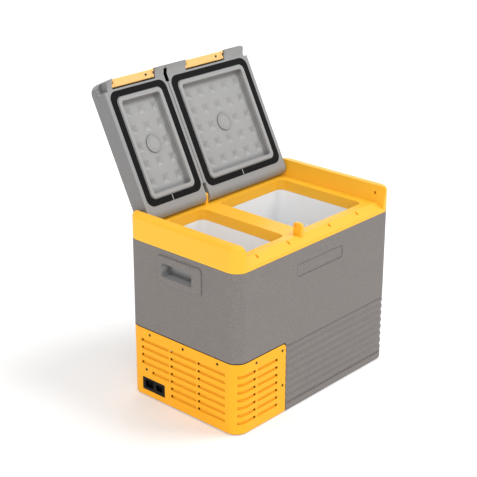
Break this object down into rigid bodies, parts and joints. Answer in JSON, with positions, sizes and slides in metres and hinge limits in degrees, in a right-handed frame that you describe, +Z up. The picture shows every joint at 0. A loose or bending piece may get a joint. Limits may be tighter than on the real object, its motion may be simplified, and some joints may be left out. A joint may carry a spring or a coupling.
{
  "type": "compressor cooler fridge",
  "caption": "Portable electric cooler with two lidded compartments, louvred machine bay, latch bars and recessed carry grips.",
  "frame": {"origin": "centre of the cabinet's underside; the four rubber feet reach 2 mm below it", "axes": "+X along the cabinet's length, from the louvred machine bay end to the control panel end; +Y from the front face to the hinge side; +Z up"},
  "size_m": [0.63, 0.5409, 0.8249],
  "materials": {
    "grey": "matte",
    "dark": "matte",
    "yellow": "satin",
    "amber": "satin",
    "white": "satin",
    "tray": "satin",
    "rubber": "matte",
    "black": "satin",
    "foam": "matte",
    "steel": "satin",
    "aluminium": "satin",
    "copper": "satin",
    "blackpaint": "satin",
    "glass": "gloss"
  },
  "bodies": {
    "cabinet": {"outer_shell": "grey", "handle_left": "grey", "handle_right": "grey", "front_badge": "grey", "base_pan": "dark", "bay_bulkhead": "dark", "foot_1": "rubber", "foot_2": "rubber", "foot_3": "rubber", "foot_4": "rubber", "rim_frame": "yellow", "liner_small": "white", "liner_large": "white", "foam_filling": "foam", "evaporator_small": "aluminium", "evaporator_large": "aluminium", "condenser": "aluminium", "control_module": "aluminium", "compressor": "blackpaint", "cover_screw_1": "blackpaint", "cover_screw_2": "blackpaint", "cover_screw_3": "blackpaint", "cover_screw_4": "blackpaint", "cover_screw_5": "blackpaint", "cover_screw_6": "blackpaint", "cover_screw_7": "blackpaint", "cover_screw_8": "blackpaint", "cover_screw_9": "blackpaint", "cover_screw_10": "blackpaint", "fan_shroud": "black", "inlet_panel": "black", "control_panel": "black", "discharge_line": "copper", "louvre_cover": "amber", "display_window": "glass"},
    "fan": {"fan_rotor": "black"},
    "power_button": {"button_power": "dark"},
    "set_button": {"button_set": "dark"},
    "down_button": {"button_down": "dark"},
    "up_button": {"button_up": "dark"},
    "small_lid": {"lid_small_shell": "grey", "lid_small_tray": "tray", "lid_small_foam": "foam", "lid_small_gasket": "rubber", "lid_small_latch_axle": "steel", "lid_small_hinge_pin_outer": "steel", "lid_small_hinge_pin_inner": "steel"},
    "small_latch": {"lid_small_latch_bar": "yellow"},
    "small_outer_latch_pin": {"lid_small_latch_pin_outer": "steel"},
    "small_inner_latch_pin": {"lid_small_latch_pin_inner": "steel"},
    "large_lid": {"lid_large_shell": "grey", "lid_large_tray": "tray", "lid_large_foam": "foam", "lid_large_gasket": "rubber", "lid_large_latch_axle": "steel", "lid_large_hinge_pin_outer": "steel", "lid_large_hinge_pin_inner": "steel"},
    "large_latch": {"lid_large_latch_bar": "yellow"},
    "large_outer_latch_pin": {"lid_large_latch_pin_outer": "steel"},
    "large_inner_latch_pin": {"lid_large_latch_pin_inner": "steel"}
  },
  "joints": [
    {"name": "small_lid_hinge", "type": "hinge", "parent": "cabinet", "child": "small_lid", "pos_m": [0, 0.171, 0.488], "axis": [1, 0, 0], "range_deg": [0, 117]},
    {"name": "large_lid_hinge", "type": "hinge", "parent": "cabinet", "child": "large_lid", "pos_m": [0, 0.171, 0.488], "axis": [1, 0, 0], "range_deg": [0, 117]},
    {"name": "small_latch_press", "type": "hinge", "parent": "small_lid", "child": "small_latch", "pos_m": [0, 0.33255, 0.79625], "axis": [1, 0, 0], "range_deg": [0, 8]},
    {"name": "large_latch_press", "type": "hinge", "parent": "large_lid", "child": "large_latch", "pos_m": [0, 0.33255, 0.79625], "axis": [1, 0, 0], "range_deg": [0, 8]},
    {"name": "small_outer_pin_slide", "type": "slide", "parent": "small_lid", "child": "small_outer_latch_pin", "axis": [-1, 0, 0], "range_m": [0, 0.009]},
    {"name": "small_inner_pin_slide", "type": "slide", "parent": "small_lid", "child": "small_inner_latch_pin", "axis": [1, 0, 0], "range_m": [0, 0.009]},
    {"name": "large_outer_pin_slide", "type": "slide", "parent": "large_lid", "child": "large_outer_latch_pin", "axis": [1, 0, 0], "range_m": [0, 0.009]},
    {"name": "large_inner_pin_slide", "type": "slide", "parent": "large_lid", "child": "large_inner_latch_pin", "axis": [-1, 0, 0], "range_m": [0, 0.009]},
    {"name": "fan_spin", "type": "hinge", "parent": "cabinet", "child": "fan", "pos_m": [-0.25, -0.06, 0.096], "axis": [1, 0, 0], "continuous": true},
    {"name": "power_press", "type": "slide", "parent": "cabinet", "child": "power_button", "axis": [-1, 0, 0], "range_m": [0, 0.0012], "stiffness_N_per_m": 900},
    {"name": "set_press", "type": "slide", "parent": "cabinet", "child": "set_button", "axis": [-1, 0, 0], "range_m": [0, 0.0012], "stiffness_N_per_m": 900},
    {"name": "down_press", "type": "slide", "parent": "cabinet", "child": "down_button", "axis": [-1, 0, 0], "range_m": [0, 0.0012], "stiffness_N_per_m": 900},
    {"name": "up_press", "type": "slide", "parent": "cabinet", "child": "up_button", "axis": [-1, 0, 0], "range_m": [0, 0.0012], "stiffness_N_per_m": 900}
  ],
  "couplings": [
    {"joint": "small_outer_pin_slide", "follows": "small_latch_press", "m_per_rad": 0.064458},
    {"joint": "small_inner_pin_slide", "follows": "small_latch_press", "m_per_rad": 0.064458},
    {"joint": "large_outer_pin_slide", "follows": "large_latch_press", "m_per_rad": 0.064458},
    {"joint": "large_inner_pin_slide", "follows": "large_latch_press", "m_per_rad": 0.064458}
  ]
}
